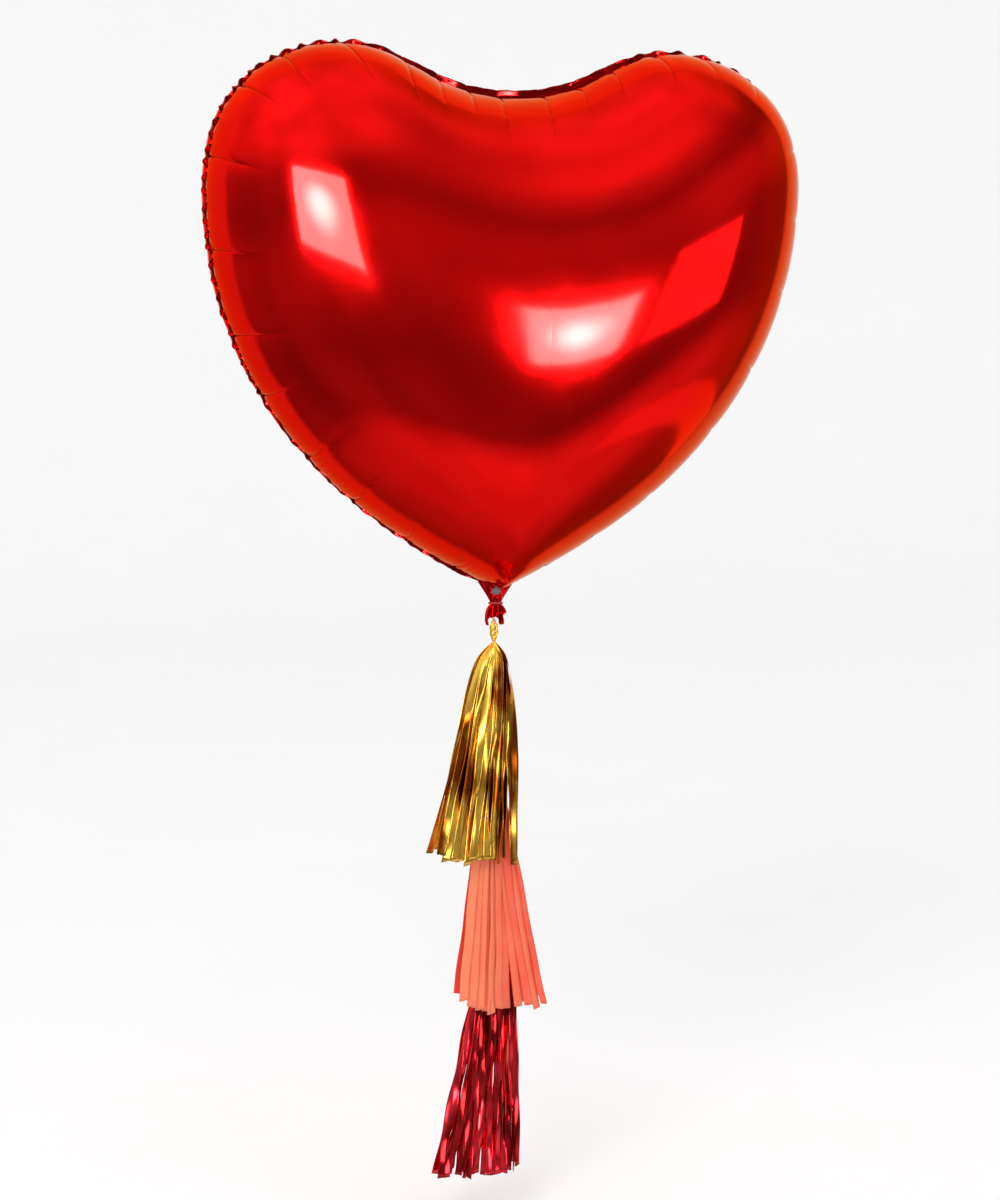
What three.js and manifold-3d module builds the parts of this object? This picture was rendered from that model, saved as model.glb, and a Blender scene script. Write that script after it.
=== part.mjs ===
// A heart-shaped foil balloon with a tail of three tassels, in millimetres, +Z up.
// The front faces -Y. The origin lies in the plane of the seam, at the tie around the neck.

import * as THREE from 'three';
import { mergeVertices } from 'three/addons/utils/BufferGeometryUtils.js';
import Module from 'manifold-3d';

const wasm = await Module();
wasm.setup();

// ---------------------------------------------------------------- driving dimensions

const CLEARANCE = 0.35;          // gap kept between neighbouring pieces

// Heart: the line where the dome meets the flat flange, right-hand half.
const HEART_LEAN_DEG = 1.6;      // the heart rests leaning clockwise over the hanging tail
const TIP_Z = 26;
const TIP_SLOPE_DEG = 25;        // of the lower edge, where it leaves the point
const TIP_REACH = 330;           // how far the lower edge stays straight
const WIDEST = { x: 380, z: 520 };
const WIDEST_REACH_DOWN = 167;
const WIDEST_REACH_UP = 131;
const LOBE = { x: 215, z: 685 };
const LOBE_REACH_OUT = 60;
const LOBE_REACH_IN = 80;
const NOTCH_Z = 630;
const NOTCH_REACH = 110;
const HALF_POINTS = 32;          // corners along half of the heart
const SEAM_SAMPLES = 240;        // finer steps along half of the seam, for the dome's height

const DOME_RISE = 172;           // seam plane to the crown of one panel
const DOME_FULLNESS = 1.6;       // 1 gives a pointed dome, 2 a flat-topped one
const CENTRE_Z = 380;            // the rings of each dome close in on this height
const RING_STEPS = [0, 0.015, 0.06, 0.14, 0.27, 0.46, 0.72];   // 0 at the seam, 1 at the centre
const FILM = 1.2;                // panels are thickened to this
const FLANGE_WIDTH = 9;
const SEAM_HALF_GAP = 0.15;

// Neck, below the heart's point.
const NECK_TOP = { x: 24, z: 30 };
const NECK_WAIST = { x: 7.5, z: 2.5 };
const NECK_MIDDLE = { x: 15, z: 12 };
const RUFFLE_TOP = { x: 15, z: -9 };
const RUFFLE_END = { x: 14.5, z: -26 };
const RUFFLE_ARCH_RADIUS = 6;
const PORT = { z: 15, halfWidth: 6.5, halfHeight: 4.5 };

const VALVE = { width: 16, thickness: 0.9, bottom: 6, top: 95 };
const VALVE_SLOT = { width: 12, thickness: 0.3, bottom: 9 };
const VALVE_INLET_RADIUS = 3;

// Cords. The tail hangs behind the ruffle.
const CORD_RADIUS = 0.8;
const KNOT_RADIUS = 3.4;
const TAIL_Y = 6.2;
const EYE_RADIUS = 3.6;
const EYE_TUBE = 0.7;
const RING_SIDES = 16;           // a multiple of 4, so that no corner lies on a link's middle line

// Every tassel hangs from the top of its loop, at local height 0.
const LOOP_HALF_WIDTH = 3.8;
const LOOP_HEIGHT = 24;
const LOOP_TUBE = 1.2;
const STEM_RADIUS = 1.6;
const HEAD_RADIUS = 6.5;
const HEAD_CENTRE_Z = -34;       // centre of the head's domed top
const HEAD_END_Z = -39.5;
const STRIP_THICKNESS = 0.6;
const STRIP_TOP_Y = 4.2;         // half depth of the bunch, just below the head
const STRIP_TOP_X = 6.3;         // half width there
const FLARE_LENGTH = 0.05;       // share of a strip's length in which the bunch opens out
const STRIP_SHARE = 0.82;        // width of a strip, of the room it has, where strips crowd together
const STRIP_STEPS = 7;

// Spread and drift are millimetres sideways; depth is the half depth at the strips' ends.
const TASSELS = [
  {
    name: 'gold', pivotZ: -22, front: 7, back: 6, stripWidth: 10, spread: 16, depth: 20,
    driftLeft: -60, driftRight: 4, endLeft: -292, endMiddle: -303, endRight: -309,
    colour: 0xd39a1e, roughness: 0.22, metalness: 1,
  },
  {
    name: 'coral', pivotZ: -213, front: 6, back: 5, stripWidth: 11, spread: 10, depth: 17,
    driftLeft: -33, driftRight: 44, endLeft: -284, endMiddle: -310, endRight: -305,
    colour: 0xff6f55, roughness: 0.85, metalness: 0,
  },
  {
    name: 'red', pivotZ: -418, front: 7, back: 6, stripWidth: 8, spread: 18, depth: 10,
    driftLeft: -52, driftRight: 8, endLeft: -317, endMiddle: -320, endRight: -317,
    colour: 0xb5122e, roughness: 0.22, metalness: 1,
  },
];

// ---------------------------------------------------------------- materials

const redFoil = { color: 0xd80b06, roughness: 0.18, metalness: 1 };
const valveFilm = { color: 0xb9bcc0, roughness: 0.35, metalness: 0 };
const redCord = { color: 0x8f0d12, roughness: 0.7, metalness: 0 };
const paleCord = { color: 0xe9e4da, roughness: 0.8, metalness: 0 };

function piece(name, geometry, look) {
  const mesh = new THREE.Mesh(geometry, new THREE.MeshStandardMaterial(look));
  mesh.name = name;
  return mesh;
}

// ---------------------------------------------------------------- joining and cutting

function toSolid(geometry) {
  const bare = geometry.clone();
  bare.deleteAttribute('normal');
  bare.deleteAttribute('uv');
  const merged = mergeVertices(bare, 1e-4);
  return new wasm.Manifold(new wasm.Mesh({
    numProp: 3,
    vertProperties: new Float32Array(merged.attributes.position.array),
    triVerts: new Uint32Array(merged.index.array),
  }));
}

function toGeometry(solid) {
  const mesh = solid.getMesh();
  const geometry = new THREE.BufferGeometry();
  geometry.setAttribute('position', new THREE.BufferAttribute(mesh.vertProperties, 3));
  geometry.setIndex(new THREE.BufferAttribute(mesh.triVerts, 1));
  geometry.computeVertexNormals();
  return geometry;
}

function joined(...geometries) {
  return toGeometry(geometries.map(toSolid).reduce((whole, solid) => whole.add(solid)));
}

// ---------------------------------------------------------------- heart

function heartHalf() {
  const slope = THREE.MathUtils.degToRad(TIP_SLOPE_DEG);
  const half = new THREE.Path();
  half.moveTo(0, TIP_Z);
  half.bezierCurveTo(
    TIP_REACH * Math.cos(slope), TIP_Z + TIP_REACH * Math.sin(slope),
    WIDEST.x, WIDEST.z - WIDEST_REACH_DOWN, WIDEST.x, WIDEST.z);
  half.bezierCurveTo(
    WIDEST.x, WIDEST.z + WIDEST_REACH_UP,
    LOBE.x + LOBE_REACH_OUT, LOBE.z, LOBE.x, LOBE.z);
  half.bezierCurveTo(
    LOBE.x - LOBE_REACH_IN, LOBE.z, NOTCH_REACH, NOTCH_Z, 0, NOTCH_Z);
  return half;
}

// The whole heart, anticlockwise from its point, as seen with X to the right and Z up.
function heartOutline(pointsPerHalf) {
  const right = heartHalf().getSpacedPoints(pointsPerHalf);
  const left = right.slice(1, -1).reverse().map((p) => new THREE.Vector2(-p.x, p.y));
  return [...right, ...left];
}

function outwardNormals(outline) {
  return outline.map((_, i) => {
    const before = outline.at(i - 1);
    const after = outline[(i + 1) % outline.length];
    return new THREE.Vector2(after.y - before.y, before.x - after.x).normalize();
  });
}

const seam = heartOutline(SEAM_SAMPLES).map((point, i, all) => {
  const next = all[(i + 1) % all.length];
  return { middle: point.clone().add(next).divideScalar(2), length: point.distanceTo(next) };
});

// A smooth distance to the seam: near the seam it is the true distance.
function seamDistance(point) {
  const sum = seam.reduce((s, step) => s + step.length / point.distanceTo(step.middle) ** 3, 0);
  return Math.sqrt(2 / sum);
}

const rim = heartOutline(HALF_POINTS);
const rimNormals = outwardNormals(rim);
const centre = new THREE.Vector2(0, CENTRE_Z);
const crownDistance = seamDistance(centre);

// Gas pushes the film out square to the seam plane at the rim, and rounds it over to the crown.
function domeRise(point) {
  const share = Math.min(seamDistance(point) / crownDistance, 1);
  return DOME_RISE * Math.sqrt(share * (DOME_FULLNESS - (DOME_FULLNESS - 1) * share));
}

// Loops of points from the crown of the outer face, round the flange's edge, to the inner crown.
function panelLoops(side) {
  const outerY = side * (SEAM_HALF_GAP + FILM);
  const innerY = side * SEAM_HALF_GAP;
  const outer = RING_STEPS.map((step) => rim.map((p) => {
    const at = p.clone().lerp(centre, step);
    const rise = step === 0 ? 0 : domeRise(at);
    return new THREE.Vector3(at.x, outerY + side * rise, at.y);
  }));
  const crown = new THREE.Vector3(0, outerY + side * DOME_RISE, CENTRE_Z);
  const inner = outer.map((loop, k) => loop.map((p, i) => {
    if (k === 0) {
      return new THREE.Vector3(p.x - rimNormals[i].x * FILM, innerY, p.z - rimNormals[i].y * FILM);
    }
    const along = loop[(i + 1) % loop.length].clone().sub(loop.at(i - 1));
    const inward = (outer[k + 1]?.[i] ?? crown).clone().sub(outer[k - 1][i]);
    const normal = inward.cross(along).normalize();
    if (normal.y * side < 0) normal.negate();
    return p.clone().addScaledVector(normal, -FILM);
  }));
  const edge = (y) => rim.map((p, i) => new THREE.Vector3(
    p.x + rimNormals[i].x * FLANGE_WIDTH, y, p.y + rimNormals[i].y * FLANGE_WIDTH));
  return {
    top: crown,
    loops: [...outer.reverse(), edge(outerY), edge(innerY), ...inner],
    bottom: crown.clone().setY(crown.y - side * FILM),
  };
}

// A closed skin over loops of equal length, from a top point to a bottom point.
function skin({ top, loops, bottom }, flip) {
  const count = loops[0].length;
  const points = [top, ...loops.flat(), bottom];
  const last = points.length - 1;
  const index = [];
  const face = (a, b, c) => index.push(...(flip ? [a, c, b] : [a, b, c]));
  for (let i = 0; i < count; i++) {
    const j = (i + 1) % count;
    face(0, 1 + i, 1 + j);
    for (let k = 1; k < loops.length; k++) {
      const near = 1 + (k - 1) * count;
      const far = near + count;
      face(near + i, far + i, far + j);
      face(near + i, far + j, near + j);
    }
    face(last, last - count + j, last - count + i);
  }
  const geometry = new THREE.BufferGeometry().setFromPoints(points);
  geometry.setIndex(index);
  return geometry;
}

// A flat outline in X and Z, given the panel's thickness on one side of the seam plane.
function plate(shape, side) {
  const geometry = new THREE.ExtrudeGeometry(shape, { depth: FILM, bevelEnabled: false, curveSegments: 8 });
  geometry.rotateX(Math.PI / 2);
  geometry.translate(0, side > 0 ? SEAM_HALF_GAP + FILM : -SEAM_HALF_GAP, 0);
  return geometry;
}

// An outline that mirrors its right-hand corners, given from top to bottom.
function mirrored(corners) {
  const right = corners.map((c) => new THREE.Vector2(c.x, c.z));
  const left = corners.map((c) => new THREE.Vector2(-c.x, c.z)).reverse();
  return [right, left];
}

// The neck between the heart's point and the tie.
function webShape() {
  const [right, left] = mirrored([NECK_TOP, NECK_MIDDLE, NECK_WAIST]);
  return new THREE.Shape([...right, ...left]);
}

// The gathered waist inside the tie, and the ruffle under it with its arched end.
function ruffleShape() {
  const waistEnd = { x: NECK_WAIST.x, z: -NECK_WAIST.z };
  const [right, left] = mirrored([NECK_WAIST, waistEnd, RUFFLE_TOP, RUFFLE_END]);
  const shape = new THREE.Shape(right);
  shape.absarc(0, RUFFLE_END.z, RUFFLE_ARCH_RADIUS, 0, Math.PI, false);
  left.forEach((c) => shape.lineTo(c.x, c.y));
  return shape;
}

function panel(side) {
  const dome = skin(panelLoops(side), side > 0);
  // The flat pocket in the neck and the heart's point that the valve runs through.
  const pocketTop = NECK_TOP.z + VALVE.width / 2;
  const pocketBottom = VALVE.bottom - CLEARANCE;
  const pocket = new THREE.BoxGeometry(
    VALVE.width + 2 * CLEARANCE, VALVE.thickness + 2 * CLEARANCE, pocketTop - pocketBottom);
  pocket.translate(0, 0, (pocketTop + pocketBottom) / 2);
  const web = toSolid(plate(webShape(), side));
  const ruffle = toSolid(plate(ruffleShape(), side));
  let solid = toSolid(dome).add(web).add(ruffle).subtract(toSolid(pocket));
  if (side < 0) {
    const port = new THREE.CylinderGeometry(1, 1, 4 * FILM, 24);
    port.scale(PORT.halfWidth, 1, PORT.halfHeight);
    port.translate(0, -2 * FILM, PORT.z);
    solid = solid.subtract(toSolid(port));
  }
  return toGeometry(solid);
}

// A flat film tube: open at the top, with its inlet behind the fill port.
function valve() {
  const body = new THREE.BoxGeometry(VALVE.width, VALVE.thickness, VALVE.top - VALVE.bottom);
  body.translate(0, 0, (VALVE.top + VALVE.bottom) / 2);
  const slotTop = VALVE.top + 1;
  const slot = new THREE.BoxGeometry(VALVE_SLOT.width, VALVE_SLOT.thickness, slotTop - VALVE_SLOT.bottom);
  slot.translate(0, 0, (slotTop + VALVE_SLOT.bottom) / 2);
  const inlet = new THREE.CylinderGeometry(VALVE_INLET_RADIUS, VALVE_INLET_RADIUS, VALVE.thickness, 20);
  inlet.translate(0, -VALVE.thickness / 2, PORT.z);
  return toGeometry(toSolid(body).subtract(toSolid(slot)).subtract(toSolid(inlet)));
}

// ---------------------------------------------------------------- cords and loops

// A ring of round section in the XY plane, pulled out along X or Y into a long link.
function link(radius, tube, pull, axis) {
  const geometry = new THREE.TorusGeometry(radius, tube, 6, RING_SIDES);
  const position = geometry.attributes.position;
  geometry.rotateZ(Math.PI / RING_SIDES);
  for (let i = 0; i < position.count; i++) {
    const at = axis === 'y' ? position.getY(i) : position.getX(i);
    const moved = at + Math.sign(at) * pull;
    if (axis === 'y') position.setY(i, moved);
    else position.setX(i, moved);
  }
  return geometry;
}

function upright(radius, topZ, bottomZ) {
  const rod = new THREE.CylinderGeometry(radius, radius, topZ - bottomZ, 8);
  rod.rotateX(Math.PI / 2);
  rod.translate(0, 0, (topZ + bottomZ) / 2);
  return rod;
}

function neckTie() {
  const ringRadius = SEAM_HALF_GAP + FILM + CLEARANCE + CORD_RADIUS;
  const turns = [-1, 1].map((turn) => (
    link(ringRadius, CORD_RADIUS, NECK_WAIST.x, 'x').translate(0, 0, turn * CORD_RADIUS * 0.9)));
  const knot = new THREE.SphereGeometry(KNOT_RADIUS, 12, 8).translate(0, TAIL_Y, 0);
  return joined(...turns, knot);
}

// A straight cord ending in an eye, whose loop's tube rests at height pivotZ.
function cordWithEye(topZ, pivotZ) {
  const eyeZ = pivotZ + EYE_RADIUS - EYE_TUBE - LOOP_TUBE - CLEARANCE;
  const eye = new THREE.TorusGeometry(EYE_RADIUS, EYE_TUBE, 6, RING_SIDES);
  eye.rotateY(Math.PI / 2);
  eye.translate(0, 0, eyeZ);
  return joined(upright(CORD_RADIUS, topZ, eyeZ + EYE_RADIUS), eye);
}

// ---------------------------------------------------------------- tassels

function tasselLoop() {
  const pull = (LOOP_HEIGHT - 2 * LOOP_HALF_WIDTH) / 2;
  const ring = link(LOOP_HALF_WIDTH, LOOP_TUBE, pull, 'y');
  ring.rotateX(Math.PI / 2);
  ring.translate(0, 0, -LOOP_HEIGHT / 2);
  const stemEnd = HEAD_CENTRE_Z + HEAD_RADIUS + CLEARANCE;
  return joined(ring, upright(STEM_RADIUS, -LOOP_HEIGHT, stemEnd));
}

function tasselHead() {
  const dome = new THREE.Path();
  dome.absarc(0, HEAD_CENTRE_Z, HEAD_RADIUS, Math.PI / 2, 0, true);
  dome.lineTo(HEAD_RADIUS, HEAD_END_Z);
  dome.lineTo(0, HEAD_END_Z);
  const profile = dome.getPoints(4).reverse();
  profile[0].x = 0;
  profile[profile.length - 1].x = 0;
  const head = new THREE.LatheGeometry(profile, 12);
  head.rotateX(Math.PI / 2);
  return head;
}

// How far to the side a strip hangs: place runs from -1 at the left edge to 1 at the right.
function stripX(tassel, place, t) {
  const opened = 1 - Math.exp(-t / FLARE_LENGTH);
  const drift = THREE.MathUtils.lerp(tassel.driftLeft, tassel.driftRight, (place + 1) / 2);
  return place * (STRIP_TOP_X + tassel.spread * opened) + drift * t;
}

function stripEnd(tassel, place) {
  return place < 0
    ? THREE.MathUtils.lerp(tassel.endMiddle, tassel.endLeft, -place)
    : THREE.MathUtils.lerp(tassel.endMiddle, tassel.endRight, place);
}

// One flat ribbon, bent from a box: it hangs from the head and widens out of the bunch.
function strip(tassel, place, side, count) {
  const geometry = new THREE.BoxGeometry(1, STRIP_THICKNESS, 1, 1, 1, STRIP_STEPS);
  const position = geometry.attributes.position;
  const top = HEAD_END_Z - CLEARANCE;
  const end = stripEnd(tassel, place);
  for (let i = 0; i < position.count; i++) {
    const t = (0.5 - position.getZ(i)) ** 1.6;
    const room = (stripX(tassel, 1, t) - stripX(tassel, -1, t)) / count;
    const width = Math.min(tassel.stripWidth, room * STRIP_SHARE);
    const depth = THREE.MathUtils.lerp(STRIP_TOP_Y, tassel.depth, t);
    position.setXYZ(i,
      stripX(tassel, place, t) + position.getX(i) * width,
      position.getY(i) + side * depth,
      THREE.MathUtils.lerp(top, end, t));
  }
  geometry.computeVertexNormals();
  return geometry;
}

function tasselPieces(tassel) {
  const look = { color: tassel.colour, roughness: tassel.roughness, metalness: tassel.metalness };
  const group = new THREE.Group();
  group.position.set(0, TAIL_Y, tassel.pivotZ);
  group.add(piece(`${tassel.name}_loop`, tasselLoop(), look));
  group.add(piece(`${tassel.name}_head`, tasselHead(), look));
  const curtains = [{ count: tassel.front, side: -1 }, { count: tassel.back, side: 1 }];
  let number = 1;
  for (const { count, side } of curtains) {
    for (let i = 0; i < count; i++) {
      const place = (2 * i + 1) / count - 1;
      const name = `${tassel.name}_strip_${String(number).padStart(2, '0')}`;
      group.add(piece(name, strip(tassel, place, side, count), look));
      number += 1;
    }
  }
  return group;
}

// ---------------------------------------------------------------- assembly

const balloon = new THREE.Group();
balloon.rotation.y = THREE.MathUtils.degToRad(HEART_LEAN_DEG);
balloon.add(piece('front_panel', panel(-1), redFoil));
balloon.add(piece('back_panel', panel(1), redFoil));
balloon.add(piece('self_sealing_valve', valve(), valveFilm));
balloon.add(piece('neck_tie', neckTie(), redCord));

const [gold, coral, red] = TASSELS;
const headEnd = HEAD_END_Z - CLEARANCE;
const cords = new THREE.Group();
cords.position.y = TAIL_Y;
cords.add(piece('hang_cord', cordWithEye(-KNOT_RADIUS - CLEARANCE, gold.pivotZ), paleCord));
cords.add(piece('upper_link_cord', cordWithEye(gold.pivotZ + headEnd, coral.pivotZ), paleCord));
cords.add(piece('lower_link_cord', cordWithEye(coral.pivotZ + headEnd, red.pivotZ), paleCord));

const group = new THREE.Group();
group.add(balloon, cords, ...TASSELS.map(tasselPieces));

export default group;
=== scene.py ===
"""The looks of a heart-shaped foil balloon with a tail of three tassels, built round its CAD frame.

Lengths are written in millimetres and turned into metres where a mesh is made. The front faces -Y.
"""

import math

import bpy
import numpy as np
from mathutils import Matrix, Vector


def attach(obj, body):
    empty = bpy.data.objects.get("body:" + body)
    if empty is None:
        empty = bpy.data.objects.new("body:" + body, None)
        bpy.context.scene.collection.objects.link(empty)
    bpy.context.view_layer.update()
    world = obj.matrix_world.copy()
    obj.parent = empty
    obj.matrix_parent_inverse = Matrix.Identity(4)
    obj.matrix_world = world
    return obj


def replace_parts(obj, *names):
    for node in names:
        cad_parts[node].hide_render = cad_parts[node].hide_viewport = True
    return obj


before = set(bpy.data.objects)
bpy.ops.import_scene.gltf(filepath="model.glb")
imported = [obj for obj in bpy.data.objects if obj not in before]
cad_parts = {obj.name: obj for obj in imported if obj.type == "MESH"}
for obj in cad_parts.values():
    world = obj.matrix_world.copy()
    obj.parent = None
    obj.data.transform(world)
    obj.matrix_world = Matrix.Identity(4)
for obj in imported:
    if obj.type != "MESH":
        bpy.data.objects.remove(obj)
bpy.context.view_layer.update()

MM = 0.001

# ---------------------------------------------------------------- driving dimensions, as in the CAD

HEART_LEAN = math.radians(1.6)
TIP_Z = 26
TIP_SLOPE = math.radians(25)
TIP_REACH = 330
WIDEST = (380, 520)
WIDEST_REACH_DOWN = 167
WIDEST_REACH_UP = 131
LOBE = (215, 685)
LOBE_REACH_OUT = 60
LOBE_REACH_IN = 80
NOTCH_Z = 630
NOTCH_REACH = 110
DOME_RISE = 172
DOME_FULLNESS = 1.6
CENTRE_Z = 380
FLANGE_WIDTH = 9.2

TAIL_Y = 6.2
GOLD_PIVOT_Z = -22
CORAL_PIVOT_Z = -213
RED_PIVOT_Z = -418
LOOP_HEIGHT = 24
HEAD_TOP_Z = -27.5
HEAD_END_Z = -39.5

# ---------------------------------------------------------------- looks

COLUMNS = 1000                   # round the seam, closer together at creases
ROWS = 46                        # seam to crown
THINNED_ROW = 28                 # from this row inwards one column in four is kept
ROW_POWER = 2.2
INWARD_PULL = 80                 # columns leave the seam squarely for about half of this
FILM_GAP = 0.4                   # each film's middle, from the seam plane
FILM_THICKNESS = 0.5

rng = np.random.default_rng(36)


def smooth(x, low, high):
    t = np.clip((x - low) / (high - low), 0, 1)
    return t * t * (3 - 2 * t)


# ---------------------------------------------------------------- meshes

def mesh_object(name, points, faces, material, smooth_faces=True):
    """An object from points in millimetres."""
    mesh = bpy.data.meshes.new(name)
    mesh.from_pydata((np.asarray(points, float) * MM).tolist(), [], faces)
    mesh.polygons.foreach_set("use_smooth", [smooth_faces] * len(mesh.polygons))
    mesh.materials.append(material)
    mesh.validate()
    obj = bpy.data.objects.new(name, mesh)
    bpy.context.scene.collection.objects.link(obj)
    return obj


def thicken(obj, thickness):
    """Turns a single sheet into closed film, centred on it."""
    modifier = obj.modifiers.new("film", "SOLIDIFY")
    modifier.thickness = thickness * MM
    modifier.offset = 0
    bake(obj)
    return obj


def bake(obj):
    """Applies an object's modifiers."""
    evaluated = obj.evaluated_get(bpy.context.evaluated_depsgraph_get())
    mesh = bpy.data.meshes.new_from_object(evaluated)
    obj.modifiers.clear()
    obj.data = mesh


def grid_faces(rows, columns, closed):
    """Quads between neighbouring points of a grid whose rows follow one another."""
    used_columns = columns if closed else columns - 1
    row, column = np.meshgrid(np.arange(rows - 1), np.arange(used_columns), indexing="ij")
    after = (column + 1) % columns
    quads = np.stack([row * columns + column, row * columns + after,
                      (row + 1) * columns + after, (row + 1) * columns + column], axis=-1)
    return quads.reshape(-1, 4).tolist()


def lean(points):
    """Turns points of the upright heart about the tie, as the balloon rests."""
    x, y, z = np.moveaxis(np.asarray(points, float), -1, 0)
    c, s = math.cos(HEART_LEAN), math.sin(HEART_LEAN)
    return np.stack([x * c + z * s, y, z * c - x * s], axis=-1)


# ---------------------------------------------------------------- materials

def new_material(name):
    material = bpy.data.materials.new(name)
    material.use_nodes = True
    tree = material.node_tree
    return material, tree, tree.nodes["Principled BSDF"]


def add(tree, kind, **values):
    """A shader node with its settings, and its sockets named in inputs."""
    node = tree.nodes.new(kind)
    inputs = values.pop("inputs", {})
    for key, value in values.items():
        setattr(node, key, value)
    for key, value in inputs.items():
        node.inputs[key].default_value = value
    return node


def noise(tree, vector, scale, detail=3.0, roughness=0.5):
    node = add(tree, "ShaderNodeTexNoise", inputs={"Scale": scale, "Detail": detail, "Roughness": roughness})
    tree.links.new(vector, node.inputs["Vector"])
    return node.outputs["Fac"]


def arithmetic(tree, operation, first, second, third=None):
    """A math node of sockets or numbers."""
    node = add(tree, "ShaderNodeMath", operation=operation)
    for index, value in enumerate(v for v in (first, second, third) if v is not None):
        if isinstance(value, (int, float)):
            node.inputs[index].default_value = value
        else:
            tree.links.new(value, node.inputs[index])
    return node.outputs["Value"]


def stretched(tree, vector, scale):
    """The same coordinates, squeezed or stretched along each axis."""
    node = add(tree, "ShaderNodeMapping", inputs={"Scale": scale})
    tree.links.new(vector, node.inputs["Vector"])
    return node.outputs["Vector"]


def ramp(tree, factor, stops):
    node = add(tree, "ShaderNodeValToRGB")
    elements = node.color_ramp.elements
    while len(elements) < len(stops):
        elements.new(0.5)
    for element, (position, color) in zip(elements, stops):
        element.position = position
        element.color = (*color, 1)
    tree.links.new(factor, node.inputs["Fac"])
    return node.outputs["Color"]


def bump(tree, height, strength, distance, below=None):
    node = add(tree, "ShaderNodeBump", inputs={"Strength": strength, "Distance": distance})
    tree.links.new(height, node.inputs["Height"])
    if below is not None:
        tree.links.new(below, node.inputs["Normal"])
    return node.outputs["Normal"]


# The shares of the noise where a foil shows its deep colour and its bright one: patches of painted
# reflection, standing in for a contrasty room seen in the foil.
PAINTED_REFLECTION_LOW = 0.4
PAINTED_REFLECTION_HIGH = 0.58


def foil_material(name, deep, bright, edge, roughness, crinkle, crinkle_scale, reflection_patch_scale=9.0,
                  grain=(1, 1, 1), coats=(0.02, 0.22)):
    """Metallised film: a tinted mirror, faintly crinkled, with patches of painted reflection, a paler colour
    where it is seen aslant that paints a rim sheen, more lacquer there, and painted shade where the mesh
    marks creases and the flange."""
    material, tree, shader = new_material(name)
    place = add(tree, "ShaderNodeTexCoord").outputs["Object"]
    grained = stretched(tree, place, grain)
    painted_reflection_noise = noise(tree, grained, reflection_patch_scale, 3.0)
    slanting = add(tree, "ShaderNodeMapRange", interpolation_type="SMOOTHSTEP",
                   inputs={"From Min": 0.5, "From Max": 0.95})
    tree.links.new(add(tree, "ShaderNodeLayerWeight", inputs={"Blend": 0.5}).outputs["Facing"],
                   slanting.inputs["Value"])
    painted_rim_sheen = add(tree, "ShaderNodeMix", data_type="RGBA")
    tree.links.new(slanting.outputs["Result"], painted_rim_sheen.inputs["Factor"])
    # Painted reflection: the noise picks between the deep and the bright colour, in patches that stand in for
    # the room reflected in the foil.
    painted_reflection = ramp(tree, painted_reflection_noise, [(PAINTED_REFLECTION_LOW, deep), (PAINTED_REFLECTION_HIGH, bright)])
    tree.links.new(painted_reflection, painted_rim_sheen.inputs[6])
    # Painted rim sheen: where the film is seen aslant its colour turns to the paler edge colour, standing in
    # for the bright rim of reflection.
    painted_rim_sheen.inputs[7].default_value = (*edge, 1)
    # Painted shade: where the mesh's attribute says so (the sharp creases, and the whole flange), the colour
    # goes towards a dark copy of the deep colour.
    painted_shading = add(tree, "ShaderNodeMix", data_type="RGBA")
    fold = add(tree, "ShaderNodeAttribute", attribute_name="fold").outputs["Fac"]
    tree.links.new(fold, painted_shading.inputs["Factor"])
    tree.links.new(painted_rim_sheen.outputs[2], painted_shading.inputs[6])
    painted_shading.inputs[7].default_value = (deep[0] * 0.22, deep[1] * 0.3, deep[2] * 0.3, 1)
    tree.links.new(painted_shading.outputs[2], shader.inputs["Base Color"])
    lacquer = add(tree, "ShaderNodeMapRange", inputs={"To Min": coats[0], "To Max": coats[1]})
    tree.links.new(slanting.outputs["Result"], lacquer.inputs["Value"])
    tree.links.new(lacquer.outputs["Result"], shader.inputs["Coat Weight"])
    haze = add(tree, "ShaderNodeMapRange", inputs={"To Min": roughness * 0.8, "To Max": roughness * 1.25})
    tree.links.new(noise(tree, place, 25.0), haze.inputs["Value"])
    tree.links.new(haze.outputs["Result"], shader.inputs["Roughness"])
    shader.inputs["Metallic"].default_value = 1
    shader.inputs["Specular Tint"].default_value = (1, 0.6, 0.4, 1)
    shader.inputs["Coat Roughness"].default_value = roughness * 0.6
    coarse = bump(tree, noise(tree, grained, crinkle_scale, 2.0), crinkle, 0.002)
    fine = bump(tree, noise(tree, grained, crinkle_scale * 9, 3.0), crinkle * 0.5, 0.0003, coarse)
    tree.links.new(fine, shader.inputs["Normal"])
    return material


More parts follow.
